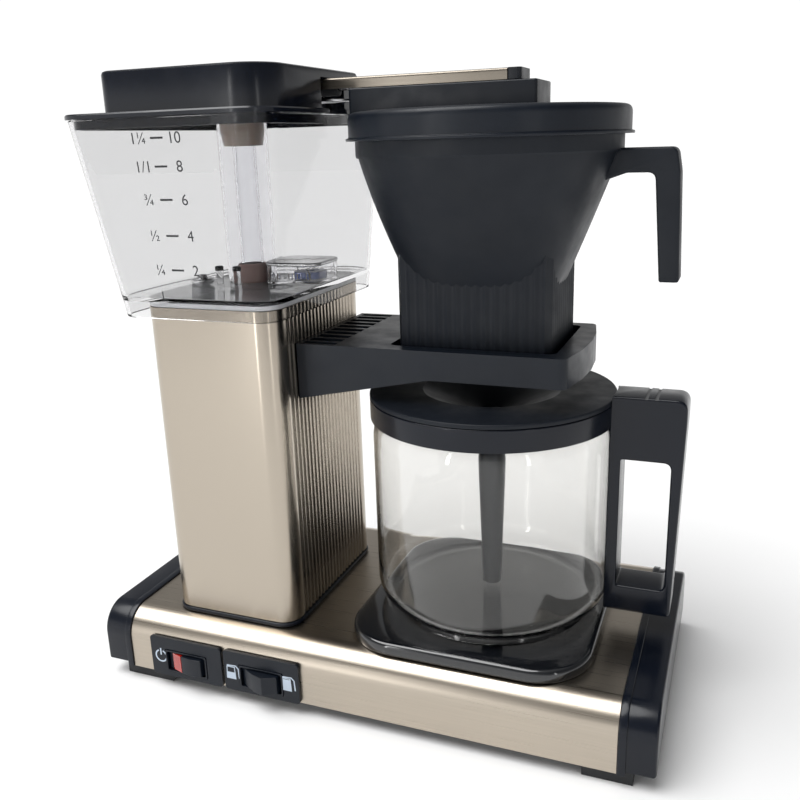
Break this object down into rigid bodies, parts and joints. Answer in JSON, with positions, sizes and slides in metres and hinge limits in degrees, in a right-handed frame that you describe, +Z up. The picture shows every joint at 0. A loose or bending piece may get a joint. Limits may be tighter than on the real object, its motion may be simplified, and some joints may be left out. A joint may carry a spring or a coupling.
{
  "type": "commercial coffee brewer",
  "caption": "Drip coffee brewer: brushed base, boiler tower, clear water tank, outlet arm, filter basket on a holder, hot plate and a glass carafe with a handle and lid.",
  "frame": {"origin": "centre of the bounding box in plan, on the plane of the undersides of the feet", "axes": "+X from the tower to the carafe, +Y to the rear, +Z up"},
  "size_m": [0.32, 0.179, 0.3416],
  "materials": {
    "champagne_metal": "fine brushing, warm champagne tint",
    "dark_pan": "matt black coating",
    "gloss_black": "glossy blue-black",
    "enamel": "smooth glossy black coating",
    "rubber": "soft matt black",
    "satin_black": "satin, fine moulded grain, blue-black",
    "red_lens": "translucent red",
    "steel": "bright plated",
    "copper": "drawn copper",
    "silicone": "soft translucent beige",
    "clear_plastic": "clear moulded plastic",
    "glass": "clear blown glass",
    "blue_plastic": "satin blue"
  },
  "bodies": {
    "base": {"base_cover": "champagne_metal", "base_pan": "dark_pan", "left_end_cap": "gloss_black", "right_end_cap": "gloss_black", "foot_front_left": "rubber", "foot_front_right": "rubber", "foot_rear_left": "rubber", "foot_rear_right": "rubber", "cord_gland": "rubber", "power_switch_plate": "satin_black", "power_switch_body": "satin_black", "selector_plate": "satin_black", "selector_body": "satin_black", "hot_plate": "enamel", "hot_plate_element": "steel", "hot_plate_thermostat": "gloss_black", "terminal_block": "satin_black", "tower_gasket": "rubber", "tower_housing": "champagne_metal", "tower_cap": "satin_black", "boiler_tube": "copper", "boiler_element": "steel", "check_valve": "clear_plastic", "inlet_hose": "silicone", "riser_joint": "silicone", "thermal_cutout": "gloss_black", "water_tank": "clear_plastic", "riser_pipe": "glass", "riser_seal": "silicone", "riser_column": "clear_plastic", "riser_collar": "silicone", "float_housing": "clear_plastic", "float_cover": "steel", "tank_nut": "steel", "basket_holder": "satin_black", "holder_screw_front": "steel", "holder_screw_rear": "steel"},
    "power_switch": {"power_rocker": "satin_black", "power_lens": "red_lens"},
    "selector_switch": {"selector_rocker": "satin_black"},
    "check_ball": {"check_valve_ball": "steel"},
    "float": {"float_ring": "blue_plastic"},
    "tank_cover": {"tank_lid": "satin_black"},
    "outlet_arm": {"outlet_elbow": "rubber", "outlet_arm_cover": "champagne_metal", "outlet_tube": "steel", "outlet_arm_end_cap": "satin_black", "outlet_clip": "steel"},
    "basket_cover": {"basket_lid": "satin_black"},
    "filter_basket": {"brew_basket": "satin_black", "drip_stop_spring": "steel"},
    "drip_stop": {"drip_stop_valve": "satin_black"},
    "carafe": {"carafe_glass": "glass", "carafe_handle": "gloss_black"},
    "carafe_cover": {"carafe_lid": "satin_black", "mixing_tube": "satin_black"}
  },
  "joints": [
    {"name": "power_rock", "type": "hinge", "parent": "base", "child": "power_switch", "pos_m": [-0.1023, -0.0801, 0.0178], "axis": [0, 0, 1], "range_deg": [0, 18]},
    {"name": "selector_rock", "type": "hinge", "parent": "base", "child": "selector_switch", "pos_m": [-0.053, -0.0801, 0.0178], "axis": [0, 0, 1], "range_deg": [0, 18]},
    {"name": "check_ball_rise", "type": "slide", "parent": "base", "child": "check_ball", "axis": [0, 0, 1], "range_m": [0, 0.0025]},
    {"name": "float_rise", "type": "slide", "parent": "base", "child": "float", "axis": [0, 0, 1], "range_m": [0, 0.0042]},
    {"name": "tank_lid_lift", "type": "slide", "parent": "base", "child": "tank_cover", "axis": [0, 0, 1], "range_m": [0, 0.1]},
    {"name": "outlet_arm_lift", "type": "slide", "parent": "base", "child": "outlet_arm", "axis": [0, 0, 1], "range_m": [0, 0.075]},
    {"name": "basket_lid_lift", "type": "slide", "parent": "base", "child": "basket_cover", "axis": [0, 0, 1], "range_m": [0, 0.05]},
    {"name": "basket_lift", "type": "slide", "parent": "base", "child": "filter_basket", "axis": [0, 0, 1], "range_m": [0, 0.025]},
    {"name": "drip_stop_press", "type": "slide", "parent": "filter_basket", "child": "drip_stop", "axis": [0, 0, 1], "range_m": [0, 0.003], "stiffness_N_per_m": 200, "springref_m": -0.004, "deforming": ["drip_stop_spring"]},
    {"name": "carafe_slide", "type": "slide", "parent": "base", "child": "carafe", "axis": [0, -1, 0], "range_m": [0, 0.16]},
    {"name": "carafe_lid_lift", "type": "slide", "parent": "carafe", "child": "carafe_cover", "axis": [0, 0, 1], "range_m": [0, 0.003]}
  ],
  "couplings": [
    {"joint": "outlet_arm_lift", "follows": "tank_lid_lift", "ratio": 0.75},
    {"joint": "basket_lid_lift", "follows": "tank_lid_lift", "ratio": 0.5},
    {"joint": "basket_lift", "follows": "tank_lid_lift", "ratio": 0.25}
  ]
}
